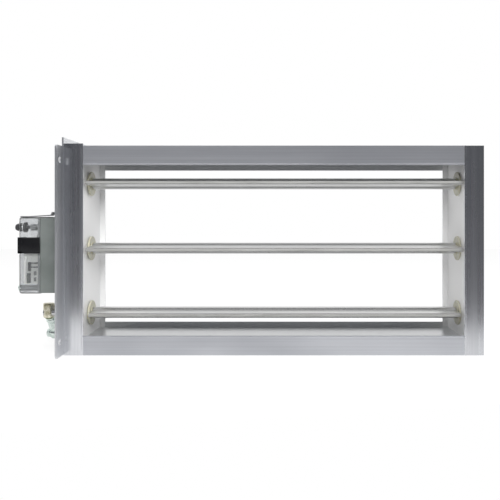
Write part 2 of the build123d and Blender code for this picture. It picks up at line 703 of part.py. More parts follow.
# ---- circuit board with its switches and terminals, just behind the cover's front wall ----
board_back = inner_front + board_setback
board_face = board_back - board_thickness
board_left = cover_inner_face + board_side_gap
board_low = inner_bottom + board_foot_gap
board = block((board_left, base_face), (board_face, board_back), (board_low, board_low + board_height))
save("circuit_board", board)
part_y = (board_face - part_depth, board_face)
switch_x = (board_left + switch_inset, board_left + switch_inset + switch_width)
switch_low = board_low + switch_rise
switches = [block(switch_x, part_y, (switch_low, switch_low + switch_height))]
for z in (switch_low + 0.45 * switch_height, switch_low + 0.9 * switch_height):
    switches.append(block((switch_x[1], base_face - gear_gap), part_y, (z - lever_half, z + lever_half)))
save("limit_switches", Compound(switches))
terminal_x = (switch_x[0] - terminal_shift, switch_x[1] - terminal_shift / 2)
terminal_low = switch_low - terminal_gap - terminal_height
terminals = block(terminal_x, part_y, (terminal_low, terminal_low + terminal_height))
for i in range(terminal_count):
    hole_z = terminal_low + terminal_height * (i + 0.5) / terminal_count
    hole_place = Pos(sum(terminal_x) / 2, part_y[0], hole_z) * Rot(90, 0, 0)
    terminals -= hole_place * Cylinder(terminal_hole, part_depth)
save("terminal_block", terminals)

# ---- cover latch: a spring strip over the top edge with an upturned thumb tab ----
latch_tip = -bracket_reach + 13.0
latch_side = [
    (-cover_reach + 1, cover_high), (-cover_reach + 12, cover_high), (latch_tip, cover_high + 1.6),
    (latch_tip + 2, cover_high + 6.0), (latch_tip + 0.8, cover_high + 6.4),
    (latch_tip - 1, cover_high + 1.6 + latch_thickness),
    (-cover_reach + 12, cover_high + latch_thickness),
    (-cover_reach + 1, cover_high + latch_thickness),
]
latch = extrude(Plane.XZ * make_face(Polyline(latch_side, close=True)), amount=-latch_width)
save("cover_latch", Pos(0, bracket_front + cover_corner, 0) * latch)
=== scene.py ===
import bmesh
import bpy
import math
import numpy as np
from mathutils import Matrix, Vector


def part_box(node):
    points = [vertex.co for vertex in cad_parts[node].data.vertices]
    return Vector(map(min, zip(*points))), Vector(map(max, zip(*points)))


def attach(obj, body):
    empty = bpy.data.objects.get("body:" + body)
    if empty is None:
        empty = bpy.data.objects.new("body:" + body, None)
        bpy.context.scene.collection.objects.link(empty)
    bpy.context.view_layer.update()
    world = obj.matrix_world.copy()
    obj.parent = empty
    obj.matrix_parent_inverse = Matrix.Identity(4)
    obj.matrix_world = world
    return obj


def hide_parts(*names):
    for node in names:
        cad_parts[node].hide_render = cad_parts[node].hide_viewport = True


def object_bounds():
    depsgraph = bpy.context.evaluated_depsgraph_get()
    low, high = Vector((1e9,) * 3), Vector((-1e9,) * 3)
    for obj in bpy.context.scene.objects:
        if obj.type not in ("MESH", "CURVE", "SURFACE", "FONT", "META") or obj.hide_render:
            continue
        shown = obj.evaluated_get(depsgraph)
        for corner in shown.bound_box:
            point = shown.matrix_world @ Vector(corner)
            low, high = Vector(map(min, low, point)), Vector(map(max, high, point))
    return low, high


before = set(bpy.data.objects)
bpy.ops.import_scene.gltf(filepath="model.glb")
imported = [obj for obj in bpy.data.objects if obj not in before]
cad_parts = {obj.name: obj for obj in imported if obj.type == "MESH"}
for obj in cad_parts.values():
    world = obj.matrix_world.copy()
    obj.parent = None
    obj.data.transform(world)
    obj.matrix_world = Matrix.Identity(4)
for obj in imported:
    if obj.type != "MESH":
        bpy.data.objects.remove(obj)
cad_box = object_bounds()

# ---- Camera ----
# Stands in front of the open face of the damper, a little above its middle, and looks straight
# along the air stream, so both jamb webs and the bottom rail show.
camera_data = bpy.data.cameras.new("camera")
camera_data.lens = 45.8
camera_data.sensor_width = 36.0
camera_data.shift_x = -0.050
camera_data.shift_y = -0.074
camera = bpy.data.objects.new("camera", camera_data)
camera.location = (0.254, -0.8148, 0.045)
camera.rotation_euler = (math.pi / 2, 0, 0)
bpy.context.scene.collection.objects.link(camera)
bpy.context.scene.camera = camera
bpy.context.scene.view_settings.view_transform = "Standard"


# ---- Studio walls ----
# A white wall behind the damper and an unlit room in front of it with a pale ceiling, which is
# what the flat flanges mirror. Seen directly, or through clear plastic, it is plain white.
class Wire:
    """An output socket of a shader; an operator on it, or a number before it, adds a Math node."""

    def __init__(self, shader, socket):
        self.shader = shader
        self.socket = socket

    def output(self, name):
        """Another output of the same node."""
        return Wire(self.shader, self.socket.node.outputs[name])

    def maths(self, operation, first, second):
        return self.shader.node("ShaderNodeMath", {"operation": operation}, {0: first, 1: second})

    def __add__(self, other):
        return self.maths("ADD", self, other)

    def __radd__(self, other):
        return self.maths("ADD", other, self)

    def __sub__(self, other):
        return self.maths("SUBTRACT", self, other)

    def __rsub__(self, other):
        return self.maths("SUBTRACT", other, self)

    def __mul__(self, other):
        return self.maths("MULTIPLY", self, other)

    def __rmul__(self, other):
        return self.maths("MULTIPLY", other, self)

    def __or__(self, other):
        """The greater of two values."""
        return self.maths("MAXIMUM", self, other)


class Shader:
    """The nodes of one material, or of the world. A colour is its red, green and blue."""

    def __init__(self, owner):
        owner.use_nodes = True
        self.owner = owner
        self.tree = owner.node_tree
        self.tree.nodes.clear()

    def node(self, kind, settings=None, sockets=None, output=0):
        """Adds a node: first its settings, then the values or wires of its sockets."""
        made = self.tree.nodes.new(kind)
        for name, value in (settings or {}).items():
            if name == "stops":
                ramp = made.color_ramp.elements
                for place, colour in value[2:]:
                    ramp.new(place)
                for element, (place, colour) in zip(ramp, value):
                    element.position = place
                    element.color = (*colour, 1.0)
            else:
                setattr(made, name, value)
        for name, value in (sockets or {}).items():
            socket = made.inputs[name]
            if isinstance(value, Wire):
                self.tree.links.new(value.socket, socket)
            elif socket.type == "RGBA":
                socket.default_value = (*value, 1.0)
            else:
                socket.default_value = value
        return Wire(self, made.outputs[output] if made.outputs else None)

    def blend(self, share, low, high):
        """Colour between low and high, by a share from 0 to 1."""
        sockets = {0: share, 6: low, 7: high}
        return self.node("ShaderNodeMix", {"data_type": "RGBA"}, sockets, output=2)

    def step(self, value, low, high):
        """Smooth rise from 0 to 1 as value goes from low to high."""
        settings = {"interpolation_type": "SMOOTHSTEP"}
        return self.node("ShaderNodeMapRange", settings, {0: value, 1: low, 2: high})

    def place(self, axis):
        """One coordinate of the point on the object, in metres."""
        point = self.node("ShaderNodeTexCoord", output="Object")
        return self.node("ShaderNodeSeparateXYZ", None, {0: point}, output=axis)

    def surface(self, sockets):
        """Ends a material with a Principled surface."""
        made = self.node("ShaderNodeBsdfPrincipled", None, sockets)
        self.node("ShaderNodeOutputMaterial", None, {"Surface": made})
        return self.owner


wall_white = (1.0, 1.0, 1.0)
ambient = (0.62, 0.62, 0.62)
elevation_stops = [
    (0.00, (0.50, 0.50, 0.51)),
    (0.40, (0.20, 0.20, 0.21)),
    (0.47, (0.11, 0.11, 0.12)),
    (0.55, (0.075, 0.078, 0.085)),
    (0.68, (0.16, 0.165, 0.18)),
    (0.85, (0.85, 0.86, 0.88)),
]
room = Shader(bpy.data.worlds.new("studio"))
bpy.context.scene.world = room.owner
ray = room.node("ShaderNodeTexCoord", output="Generated")
ray = room.node("ShaderNodeSeparateXYZ", None, {0: ray})
elevation = (ray.output("Z") + 1.0) * 0.5
front_room = room.node("ShaderNodeValToRGB", {"stops": elevation_stops}, {0: elevation})
mirrored = room.blend(room.step(ray.output("Y"), -0.25, 0.20), front_room, wall_white)
path = room.node("ShaderNodeLightPath", output="Is Camera Ray")
seen = room.blend(path.output("Is Glossy Ray"), ambient, mirrored)
seen = room.blend(path | path.output("Is Transmission Ray"), seen, wall_white)
walls = room.node("ShaderNodeBackground", None, {"Color": seen, "Strength": 1.0})
room.node("ShaderNodeOutputWorld", None, {"Surface": walls})

# ---- Lamps ----
# Two soft boxes: a wide one overhead, and one high in front. Their light falls on the damper, but
# they aren't mirrored in its metal.
lamp_aim = np.array((0.22, 0.0, 0.0))
for name, place, size, power in (
    ("overhead_softbox", (0.25, -0.15, 1.25), 1.5, 8.5),
    ("front_softbox", (0.50, -1.40, 0.75), 0.9, 23.0),
):
    lamp_data = bpy.data.lights.new(name, "AREA")
    lamp_data.size = size
    lamp_data.energy = power
    lamp = bpy.data.objects.new(name, lamp_data)
    lamp.location = place
    across, ahead, up = lamp_aim - np.array(place)
    lamp.rotation_euler = (math.atan2(math.hypot(across, ahead), -up), 0, math.atan2(-across, ahead))
    lamp.visible_camera = False
    lamp.visible_glossy = False
    bpy.context.scene.collection.objects.link(lamp)

# ---- Floor ----
# A white table top whose front edge runs a forearm's length in front of the damper, nearer at the
# far jamb. It takes the damper's shadow, and otherwise melts into the white wall.
table_gap = 0.0004
table_height = cad_box[0][2] - table_gap
table_outline = [(-1.6, -0.62), (2.1, 0.06), (2.1, 2.2), (-1.6, 2.2)]
table_white = (0.80, 0.80, 0.80)
mirrored_white = (0.63, 0.63, 0.63)
veil_grey = (0.25, 0.25, 0.25)
table = bpy.data.meshes.new("floor")
table.from_pydata([(x, y, table_height) for x, y in table_outline], [], [(0, 1, 2, 3)])
floor = bpy.data.objects.new("floor", table)
bpy.context.scene.collection.objects.link(floor)
shader = Shader(bpy.data.materials.new("white_table"))
matt = shader.node("ShaderNodeBsdfDiffuse", None, {"Color": table_white})
veil = shader.node("ShaderNodeBsdfDiffuse", None, {"Color": veil_grey})
path = shader.node("ShaderNodeLightPath", output="Is Camera Ray")
white = shader.blend(path.output("Is Glossy Ray"), table_white, mirrored_white)
glow = shader.node("ShaderNodeEmission", None, {"Color": white, "Strength": 1.0})
bright = shader.node("ShaderNodeAddShader", None, {0: veil, 1: glow})
direct = path | path.output("Is Glossy Ray") | path.output("Is Transmission Ray")
top = shader.node("ShaderNodeMixShader", None, {0: direct, 1: matt, 2: bright})
shader.node("ShaderNodeOutputMaterial", None, {"Surface": top})
table.materials.append(shader.owner)


# ---- Frame channels ----
# Two rails and two jambs, all cut from one extruded aluminium channel with a beaded lip on each flange,
# left as they come from the press: fine die lines along their length outside. Between the flanges the
# rails are smoother bare metal. The jambs there carry a painted reflection: a near-white matt colour in
# place of the white wall their bare metal would mirror.
def object_noise(shader, stretch, detail=3.0, roughness=0.55):
    """Noise from 0 to 1 on the object's own metres, its grain per metre given for each axis."""
    place = shader.node("ShaderNodeTexCoord", output="Object")
    place = shader.node("ShaderNodeMapping", None, {"Vector": place, "Scale": stretch})
    sockets = {"Vector": place, "Scale": 1.0, "Detail": detail, "Roughness": roughness}
    return shader.node("ShaderNodeTexNoise", None, sockets)


def along(axis, lengthwise, across):
    """Grain per metre for three axes, the same across a bar and another lengthwise."""
    return tuple(lengthwise if name == axis else across for name in "xyz")


def bump(shader, strength, distance, height):
    """Relief from a height of 0 to 1, whose full depth is given in metres."""
    sockets = {"Strength": strength, "Distance": distance, "Height": height}
    return shader.node("ShaderNodeBump", None, sockets)


def drawn_metal(name, dull, bright, axis, rough, line_strength, inner_finish_or_painted_reflection=None):
    """Bare metal with die lines along one axis, which change its tone, roughness and height.

    The inside of a channel is given as (half depth, colour, metal share, roughness), which holds for
    the faces nearer than half depth to the object's middle plane in Y. A pale colour with no metal
    share there is a painted reflection, not a real coating.
    """
    shader = Shader(bpy.data.materials.new(name))
    bands = shader.step(object_noise(shader, along(axis, 0.8, 130.0), 4.0), 0.30, 0.70)
    streaks = shader.step(object_noise(shader, along(axis, 2.5, 420.0), 5.0, 0.65), 0.35, 0.65)
    lines = object_noise(shader, along(axis, 4.0, 900.0), 3.0, 0.7)
    handling = object_noise(shader, (9.0, 9.0, 9.0), 4.0, 0.6)
    clouds = shader.step(object_noise(shader, along(axis, 5.0, 14.0), 2.0), 0.32, 0.68)
    tone = shader.blend(0.4 * bands + 0.35 * streaks + 0.25 * lines, dull, bright)
    tone = shader.blend(clouds, tone, shader.blend(0.22, tone, (0.45, 0.46, 0.49)))
    roughness = rough + 0.10 * (bands - 0.5) + 0.12 * (handling - 0.5) + 0.08 * (clouds - 0.5)
    metal = 1.0
    if inner_finish_or_painted_reflection:
        half_depth, inner_tone_or_painted_reflection, metal_share, inner_roughness = inner_finish_or_painted_reflection
        depth = shader.place("Y")
        inside = shader.step(depth | -1.0 * depth, half_depth + 0.0002, half_depth - 0.0002)
        # Inner faces take their own colour. On the jambs this is a painted reflection of the white
        # wall.
        tone = shader.blend(inside, tone, inner_tone_or_painted_reflection)
        roughness = roughness + inside * (inner_roughness - roughness)
        metal = 1.0 - (1.0 - metal_share) * inside
    return shader.surface({
        "Base Color": tone,
        "Metallic": metal,
        "Roughness": roughness,
        "Normal": bump(shader, line_strength, 0.0002, lines),
    })


def dress(material, *names):
    """Gives CAD nodes their finish."""
    for name in names:
        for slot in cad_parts[name].material_slots:
            slot.material = material


# From a bead's outside to a level within its flange's thickness.
bead_to_wall = 0.0022
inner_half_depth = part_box("rail_top")[1][1] - bead_to_wall
mill_dull = (0.70, 0.71, 0.74)
mill_bright = (0.86, 0.87, 0.90)
rail_dull = (0.76, 0.77, 0.80)
rail_bright = (0.91, 0.92, 0.95)
rail_skin = (inner_half_depth, (0.74, 0.75, 0.76), 1.0, 0.30)
# The jambs' inner faces are near-white and matt with no metal. This is a painted reflection of the
# white wall that bare aluminium there would mirror.
jamb_painted_reflection = (inner_half_depth, (0.97, 0.97, 0.97), 0.0, 0.40)
rail_metal = drawn_metal("rail_aluminium", rail_dull, rail_bright, "x", 0.74, 0.4, rail_skin)
jamb_metal = drawn_metal("jamb_aluminium", mill_dull, mill_bright, "z", 0.24, 0.15, jamb_painted_reflection)
dress(rail_metal, "rail_top", "rail_bottom")
dress(jamb_metal, "jamb_left", "jamb_right")

# ---- Mounting plate and cleats ----
# A flat aluminium sheet with the screw holes that fix the damper to the duct, held off the near
# jamb by two square cleats sawn from bar.
plate_dull = (0.77, 0.78, 0.80)
plate_bright = (0.92, 0.93, 0.95)
plate_metal = drawn_metal("plate_aluminium", plate_dull, plate_bright, "z", 0.52, 0.2)
cleat_metal = drawn_metal("cleat_aluminium", mill_dull, mill_bright, "y", 0.38, 0.4)
dress(plate_metal, "mounting_plate")
dress(cleat_metal, "plate_cleats")

# ---- Screws ----
# Cross recessed pan head screws of zinc plated steel, alike but for their length: eight through
# the jambs into the rails' screw ports, and four through the plate into the cleats.
head_radius = 0.0040
head_height = 0.0024
shank_radius = 0.0019


def plated_steel(name, light, dark, rough):
    """Zinc plate over turned steel: cloudy tone and roughness, with fine pits."""
    shader = Shader(bpy.data.materials.new(name))
    clouds = shader.step(object_noise(shader, (160.0, 160.0, 160.0), 3.0), 0.35, 0.65)
    pits = object_noise(shader, (2600.0, 2600.0, 2600.0), 2.0)
    return shader.surface({
        "Base Color": shader.blend(clouds, light, dark),
        "Metallic": 1.0,
        "Roughness": rough + 0.12 * clouds,
        "Normal": bump(shader, 0.15, 0.0001, pits),
    })


def turn(columns):
    """The angles of columns in even steps once round."""
    return np.arange(columns) * 2 * np.pi / columns


def around(seat, rise, radius, columns):
    """Rows of points round the axis of a seat, which is (origin, axis, side).

    Point = origin + rise * axis + radius * (cos(angle) * side + sin(angle) * (axis x side)), with
    rise and radius given for each row, or for each row and angle.
    """
    origin, axis, side = (np.array(part, float) for part in seat)
    rise, radius, angle = np.broadcast_arrays(rise, radius, turn(columns))
    spoke = np.cos(angle)[..., None] * side + np.sin(angle)[..., None] * np.cross(axis, side)
    return origin + rise[..., None] * axis + radius[..., None] * spoke


def skin_of(points, loop=False, capped=False):
    """A closed surface from a grid whose rows are rings: its points, and its faces in one array for
    its sides and one for its caps. loop joins the last row to the first, and capped closes the
    first and last rows with flat faces."""
    index = np.arange(points.shape[0] * points.shape[1]).reshape(points.shape[:2])
    low, high = (index, np.roll(index, -1, 0)) if loop else (index[:-1], index[1:])
    faces = [np.stack((low, np.roll(low, -1, 1), np.roll(high, -1, 1), high), -1).reshape(-1, 4)]
    if capped:
        faces.append(index[[0, -1]])
    return points.reshape(-1, 3), faces


def fit_piece(name, surfaces, material, body, finish, *replaced):
    """Joins closed surfaces into one object that rides on a body, its doubled points merged, its
    faces turned outwards and its edges over 35 degrees kept sharp."""
    points, faces, start = [], [], 0
    for own_points, own_faces in surfaces:
        for block in own_faces:
            faces += (block + start).tolist()
        points += own_points.tolist()
        start = len(points)
    mesh = bpy.data.meshes.new(name)
    mesh.from_pydata(points, [], faces)
    shape = bmesh.new()
    shape.from_mesh(mesh)
    bmesh.ops.remove_doubles(shape, verts=shape.verts, dist=1e-7)
    bmesh.ops.recalc_face_normals(shape, faces=shape.faces)
    shape.to_mesh(mesh)
    shape.free()
    mesh.shade_smooth()
    mesh.set_sharp_from_angle(angle=math.radians(35))
    mesh.materials.append(material)
    piece = bpy.data.objects.new(name, mesh)
    bpy.context.scene.collection.objects.link(piece)
    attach(piece, body)
    if replaced:
        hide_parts(*replaced)


def thread_radius(rise, angle, outer, pitch, depth):
    """Radius of a screw thread: it falls by depth and comes back once for each pitch, and a turn
    shifts it by one pitch, so depth * |2 * (rise / pitch - angle / turn - its whole part) - 1|."""
    phase = rise / pitch - angle / (2 * np.pi)
    return outer - depth * np.abs(2 * (phase - np.floor(phase)) - 1)


def pan_screw(origin, out, length, pitch=0.0014):
    """A pan head screw, one surface from the middle of its head to its tip.

    The head's top is an ellipse's arc over its radius, less a cross recess, which is deepest in the
    middle and has two arms as wide as a seventh of the head. Under it comes the threaded shank.
    """
    columns = 32
    angle = turn(columns)
    seat = (origin, out, (0, 0, 1))
    share = np.linspace(0, 1, 12)[:, None]
    east, north = np.abs(share * np.cos(angle)), np.abs(share * np.sin(angle))
    arm = np.clip((0.15 - np.minimum(east, north)) / 0.06, 0, 1)
    recess = 0.55 * arm * np.clip(1 - np.maximum(east, north) / 0.62, 0, 0.7) / 0.7
    top = head_height * (0.5 + 0.5 * np.sqrt(1 - 0.98 * share ** 2) - recess)
    head = around(seat, top, head_radius * share, columns)
    rim = around(seat, [[0.05 * head_height], [0]], [[head_radius], [0.96 * head_radius]], columns)
    steps = np.linspace(0, -length + shank_radius, 1 + 4 * int(length / pitch))[:, None]
    thread = thread_radius(steps, angle, shank_radius, pitch, 0.14 * shank_radius)
    shank = around(seat, steps, thread, columns)
    tip = around(seat, [[-length]], 0, columns)
    return skin_of(np.concatenate((head, rim, shank, tip)))


def corners(node):
    """The (y, z) places of like screws in a node's box, where their heads touch its corners."""
    low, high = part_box(node)
    sides = (low[1] + head_radius, high[1] - head_radius)
    levels = (low[2] + head_radius, high[2] - head_radius)
    return [(y, z) for y in sides for z in levels]


bright_zinc = plated_steel("bright_zinc", (0.86, 0.94, 0.90), (0.66, 0.75, 0.71), 0.20)
low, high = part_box("corner_screws")
near_web, far_web = low[0] + head_height, high[0] - head_height
places = corners("corner_screws")
screws = [pan_screw((near_web, *place), (-1, 0, 0), length=0.0195) for place in places]
screws += [pan_screw((far_web, *place), (1, 0, 0), length=0.0195) for place in places]
fit_piece("corner_screws_detailed", screws, bright_zinc, "frame", "bright_zinc", "corner_screws")
plate_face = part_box("plate_screws")[0][0] + head_height
places = corners("plate_screws")
screws = [pan_screw((plate_face, *place), (-1, 0, 0), length=0.0145) for place in places]
fit_piece("plate_screws_detailed", screws, bright_zinc, "frame", "bright_zinc", "plate_screws")

# ---- Blade bearings ----
# Moulded nylon flange bearings, ivory and slightly translucent, snapped through holes in the
# webs of both jambs.
rows = ("top", "middle", "bottom")
shader = Shader(bpy.data.materials.new("bearing_nylon"))
mottle = object_noise(shader, (120.0, 120.0, 120.0), 4.0)
flow = object_noise(shader, (1500.0, 1500.0, 1500.0), 2.0)
ivory = shader.blend(shader.step(mottle, 0.3, 0.7), (0.52, 0.50, 0.39), (0.64, 0.63, 0.52))
bearing_nylon = shader.surface({
    "Base Color": ivory,
    "Roughness": 0.38 + 0.1 * mottle,
    "Normal": bump(shader, 0.2, 0.0001, flow),
    "Subsurface Weight": 0.35,
    "Subsurface Radius": (1.0, 0.9, 0.6),
    "Subsurface Scale": 0.003,
})
dress(bearing_nylon, *[f"bearing_{side}_{row}" for side in ("left", "right") for row in rows])

# ---- Blades and tip gaskets ----
# Hollow aerofoil extrusions, mill finished, with a grey rubber gasket pushed into the groove of
# each tip.
blade_dull = (0.60, 0.60, 0.60)
blade_bright = (0.75, 0.75, 0.74)
blade_metal = drawn_metal("blade_aluminium", blade_dull, blade_bright, "x", 0.32, 0.3)
dress(blade_metal, *[f"blade_{row}" for row in rows])
shader = Shader(bpy.data.materials.new("seal_rubber"))
bloom = object_noise(shader, along("x", 30.0, 600.0), 4.0)
rubber = shader.blend(shader.step(bloom, 0.3, 0.7), (0.26, 0.26, 0.25), (0.34, 0.34, 0.33))
seal_rubber = shader.surface({
    "Base Color": rubber,
    "Roughness": 0.6 + 0.2 * bloom,
    "Normal": bump(shader, 0.2, 0.0001, bloom),
})
dress(seal_rubber, *[f"blade_seals_{row}" for row in rows])

# ---- Shafts ----
# Ground steel bars in the blades' bosses: drive shafts out through the plate at the near side,
# short idler pins at the far side.
shaft_dull = (0.50, 0.50, 0.51)
shaft_bright = (0.66, 0.66, 0.66)
shaft_steel = drawn_metal("shaft_steel", shaft_dull, shaft_bright, "x", 0.24, 0.2)
dress(shaft_steel, *[f"{bar}_{row}" for bar in ("drive_shaft", "idler_pin") for row in rows])


# ---- Linkage ----
# Cranks on the three drive shafts, joined by one tie rod with turning swivels. The cranks are
# yellow passivated steel, the bottom one a hexagon hub with an eye bolt for its arm; the eye
# bolt, its washers and lock nut, and all else that is threaded are bright zinc.
def hexagon(angle, flats):
    """Radius of a hexagon at an angle: half its width over flats / cos(angle off a flat's middle)."""
    return flats / 2 / np.cos((angle + np.pi / 6) % (np.pi / 3) - np.pi / 6)


def nut(seat, flats, height, bore):
    """A hexagon nut: at each height its radius is the lesser of the hexagon's and of a cone's that
    takes off the corners at both faces. The bore has a small countersink."""
    columns = 48
    level = np.array([0, 0, 0.05, 0.12, 0.25, 0.5, 0.75, 0.88, 0.95, 1, 1])[:, None]
    cone = flats * (0.49 + 0.6 * np.minimum(level, 1 - level) * height / flats)
    radius = np.minimum(hexagon(turn(columns), flats), cone)
    radius[[0, -1]] = 1.12 * bore
    body = around(seat, level * height, radius, columns)
    hole = around(seat, [[0.9 * height], [0.1 * height]], bore, columns)
    return skin_of(np.concatenate((body, hole)), loop=True)


def hex_bar(seat, flats, start, end):
    """A hexagon bar between two distances along its axis, its corners taken off by a cone."""
    columns = 48
    level = np.array([0, 0, 0.06, 0.15, 0.5, 0.85, 0.94, 1, 1])[:, None]
    cone = flats * (0.50 + 0.7 * np.minimum(level, 1 - level) * (end - start) / flats)
    radius = np.minimum(hexagon(turn(columns), flats), cone)
    radius[[0, -1]] = 0
    return skin_of(around(seat, start + level * (end - start), radius, columns))


def threaded_bar(seat, radius, start, end, pitch=0.0010):
    """A threaded bar between two distances along its axis, with a short cone at both ends."""
    columns = 28
    cone = 0.0006
    steps = np.linspace(start + cone, end - cone, 1 + 4 * round((end - start) / pitch))[:, None]
    thread = thread_radius(steps, turn(columns), radius, pitch, 0.13 * radius)
    low = around(seat, [[start], [start]], [[0], [0.75 * radius]], columns)
    bar = around(seat, steps, thread, columns)
    high = around(seat, [[end], [end]], [[0.75 * radius], [0]], columns)
    return skin_of(np.concatenate((low, bar, high)))


def rounded_ring(seat, inner, outer, width, power=4.0):
    """A ring whose section is a rounded rectangle: a superellipse about the middle of its wall,
    across = sign(cos) * |cos| ** (2 / power), and the same along the axis with sin."""
    section = turn(20)[:, None]
    across = np.sign(np.cos(section)) * np.abs(np.cos(section)) ** (2 / power)
    rise = np.sign(np.sin(section)) * np.abs(np.sin(section)) ** (2 / power)
    radius = (inner + outer) / 2 + across * (outer - inner) / 2
    return skin_of(around(seat, rise * width / 2, radius, 48), loop=True)


def arm_frame(row):
    """The point of a drive shaft's axis at X = 0, its crank arm's direction at rest, and its reach."""
    low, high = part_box(f"drive_shaft_{row}")
    shaft = np.array((0, 0, (low[2] + high[2]) / 2))
    low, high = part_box(f"rod_swivel_{row}")
    arm = np.array((0, (low[1] + high[1]) / 2, (low[2] + high[2]) / 2)) - shaft
    reach = np.linalg.norm(arm)
    return shaft, arm / reach, reach


x_axis = np.array((1.0, 0.0, 0.0))
z_axis = (0, 0, 1)
yellow_zinc = plated_steel("yellow_zinc", (0.86, 0.83, 0.68), (0.50, 0.46, 0.30), 0.26)
dress(yellow_zinc, "crank_top", "crank_middle")
dress(bright_zinc, "tie_rod", "rod_set_screws", "swivel_clips")
dress(bright_zinc, *[f"rod_swivel_{row}" for row in rows])
screw_tip, screw_head, screw_end = 0.0049, 0.0112, 0.0155
screw_radius, screw_flats = 0.0025, 0.0080
for row in ("top", "middle"):
    name = f"crank_set_screw_{row}"
    low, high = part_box(f"crank_screw_{row}")
    shaft, arm, _ = arm_frame(row)
    seat = (shaft + x_axis * (low[0] + high[0]) / 2, -arm, x_axis)
    screw = [
        threaded_bar(seat, screw_radius, screw_tip, screw_end),
        hex_bar(seat, screw_flats, screw_head, screw_end),
    ]
    fit_piece(name, screw, bright_zinc, f"blade_{row}", "bright_zinc", f"crank_screw_{row}")

low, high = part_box("crank_eye_bolt")
shaft, arm, reach = arm_frame("bottom")
middle = shaft + x_axis * (low[0] + high[0]) / 2
hub = [hex_bar((middle, z_axis, (0, -1, 0)), flats=0.0130, start=-0.0060, end=0.0120)]
hub_nodes = ("crank_hub_bottom", "crank_screw_bottom")
fit_piece("crank_hub_hexagon", hub, yellow_zinc, "blade_bottom", "yellow_zinc", *hub_nodes)

bolt_radius, thread_fit = 0.0030, 0.00005
bore = bolt_radius + thread_fit
nut_flats, nut_height = 0.0100, 0.0050
washer_place, spring_place, nut_place = 0.0072, 0.0087, 0.0098
washer_width, spring_width, flat_edge = 0.0012, 0.0014, 8.0
eye_radius, eye_width = 0.0075, 0.0060
shank_flats = 0.0080
shank_end = reach - eye_radius + 0.001
eye_bolt = [
    threaded_bar((middle, arm, x_axis), bolt_radius, screw_tip, shank_end),
    hex_bar((middle, arm, x_axis), shank_flats, nut_place + nut_height + 0.001, shank_end),
    rounded_ring((middle + arm * reach, x_axis, arm), bore, eye_radius, eye_width),
]
fit_piece("eye_bolt_threaded", eye_bolt, bright_zinc, "blade_bottom", "bright_zinc", "crank_eye_bolt")
lock_nut = [
    rounded_ring((middle + arm * washer_place, arm, x_axis), bore, 0.0060, washer_width, flat_edge),
    rounded_ring((middle + arm * spring_place, arm, x_axis), bore, 0.0048, spring_width),
    nut((middle + arm * nut_place, arm, x_axis), nut_flats, nut_height, bore),
]
fit_piece("lock_nut_and_washer", lock_nut, bright_zinc, "blade_bottom", "bright_zinc", "crank_lock_nut")
low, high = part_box("swivel_nut")
thin_washer = 0.0010
pin_washer = shaft + arm * reach + x_axis * (high[0] - thin_washer / 2)
pin_face = shaft + arm * reach + x_axis * (high[0] - thin_washer)
pin_nut = [
    rounded_ring((pin_washer, x_axis, arm), bore, 0.0055, thin_washer, flat_edge),
    nut((pin_face, -x_axis, arm), nut_flats, high[0] - low[0] - thin_washer, bore),
]
fit_piece("swivel_nut_and_washer", pin_nut, bright_zinc, "tie_rod", "bright_zinc", "swivel_nut")


# ---- Actuator bracket ----
# Folded steel sheet in satin grey paint. Four pan head screws through its two feet hold it to the
# plate, with nuts on the inside.
def moulded(name, dark, light, rough, grain, depth, extra=None):
    """Paint or moulded plastic with a soft mottle and a fine skin texture."""
    shader = Shader(bpy.data.materials.new(name))
    mottle = shader.step(object_noise(shader, (45.0, 45.0, 45.0), 4.0), 0.3, 0.7)
    texture = object_noise(shader, (grain, grain, grain), 2.0)
    sockets = {
        "Base Color": shader.blend(mottle, dark, light),
        "Roughness": rough + 0.08 * (mottle - 0.5),
        "Normal": bump(shader, depth, 0.0001, texture),
    }
    return shader.surface({**sockets, **(extra or {})})


grey_paint = moulded("grey_paint", (0.130, 0.146, 0.139), (0.163, 0.180, 0.173), 0.42, 1800.0, 0.3)
dress(grey_paint, "actuator_bracket")
low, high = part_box("bracket_bolts")
foot_face = low[0] + head_height
plate_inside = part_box("mounting_plate")[1][0]
bolt_past_nut = 0.0006
small_nut = (0.0070, high[0] - plate_inside - bolt_past_nut, shank_radius + thread_fit)
bolts = []
for place in corners("bracket_bolts"):
    bolts.append(pan_screw((foot_face, *place), (-1, 0, 0), length=0.0066, pitch=0.0007))
    bolts.append(nut(((plate_inside, *place), x_axis, z_axis), *small_nut))
fit_piece("bracket_bolts_and_nuts", bolts, bright_zinc, "frame", "bright_zinc", "bracket_bolts")

# ---- Actuator housing ----
# A grey moulded base and a clear polished cover over it, held by two screws and by a spring
# latch over the top edge.
grey_plastic = moulded("grey_plastic", (0.20, 0.21, 0.21), (0.25, 0.26, 0.26), 0.45, 2500.0, 0.3)
dress(grey_plastic, "actuator_base", "button_guide", "gear_plate")
shader = Shader(bpy.data.materials.new("clear_plastic"))
haze = object_noise(shader, (60.0, 60.0, 60.0), 3.0)
swirl = object_noise(shader, (220.0, 220.0, 220.0), 2.0)
clear_plastic = shader.surface({
    "Base Color": (0.86, 0.87, 0.88),
    "Roughness": 0.03 + 0.06 * haze,
    "Normal": bump(shader, 0.12, 0.0004, swirl),
    "Transmission Weight": 0.97,
    "IOR": 1.40,
})
dress(clear_plastic, "actuator_cover")
cover_side, cover_front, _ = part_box("actuator_cover")[0]
lower, _, _, upper = corners("cover_screws")
screws = [pan_screw((cover_side, *place), (-1, 0, 0), length=0.0115) for place in (lower, upper)]
fit_piece("cover_screws_detailed", screws, bright_zinc, "frame", "bright_zinc", "cover_screws")
latch_dull = (0.66, 0.66, 0.67)
latch_bright = (0.80, 0.80, 0.81)
spring_steel = drawn_metal("spring_steel", latch_dull, latch_bright, "x", 0.55, 0.2)
dress(spring_steel, "cover_latch")


